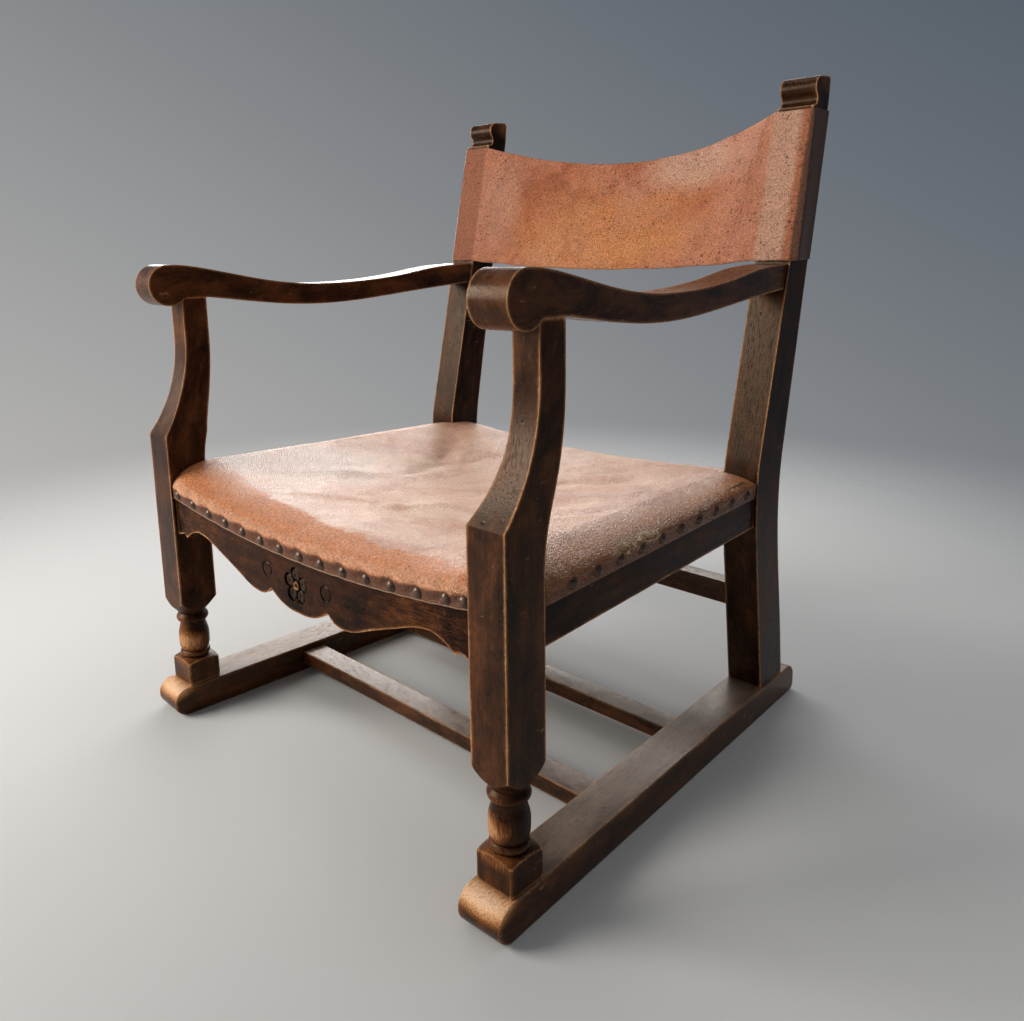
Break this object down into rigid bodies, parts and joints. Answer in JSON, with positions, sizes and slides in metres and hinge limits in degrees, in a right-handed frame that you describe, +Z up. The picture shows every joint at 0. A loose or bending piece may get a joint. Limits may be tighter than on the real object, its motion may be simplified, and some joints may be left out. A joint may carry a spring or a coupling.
{
  "type": "fireside chair",
  "caption": "Low oak fireside armchair on sledge runners, with turned front feet, scrolled arms, a shaped and carved front rail, a nailed leather seat and a leather sling back.",
  "frame": {"origin": "centre of the chair's footprint on the floor", "axes": "+Z up; the sitter faces -Y; +X points to the sitter's left"},
  "size_m": [0.6118, 0.615, 0.7717],
  "materials": {
    "oak": "dark stained oak, waxed, worn lighter at the edges",
    "block_wood": "unfinished wood",
    "webbing": "woven jute",
    "hessian": "coarse weave",
    "stuffing": "hair felt",
    "seat_leather": "worn, crazed and glossy",
    "back_leather": "worn, satin",
    "nail_metal": "dark bronzed domes"
  },
  "bodies": {
    "root": {"runner_left": "oak", "runner_right": "oak", "front_stretcher": "oak", "rear_stretcher": "oak", "back_stretcher": "oak", "front_leg_left": "oak", "front_leg_right": "oak", "back_post_left": "oak", "back_post_right": "oak", "arm_left": "oak", "arm_right": "oak", "front_seat_rail": "oak", "rear_seat_rail": "oak", "side_seat_rail_left": "oak", "side_seat_rail_right": "oak", "corner_block_front_left": "block_wood", "corner_block_front_right": "block_wood", "corner_block_rear_left": "block_wood", "corner_block_rear_right": "block_wood", "seat_webbing_across": "webbing", "seat_webbing_long": "webbing", "seat_base_cloth": "hessian", "seat_stuffing": "stuffing", "seat_leather": "seat_leather", "back_leather": "back_leather", "seat_nails_front": "nail_metal", "seat_nails_rear": "nail_metal", "seat_nails_left": "nail_metal", "seat_nails_right": "nail_metal", "back_nails_left": "nail_metal", "back_nails_right": "nail_metal"}
  },
  "joints": []
}
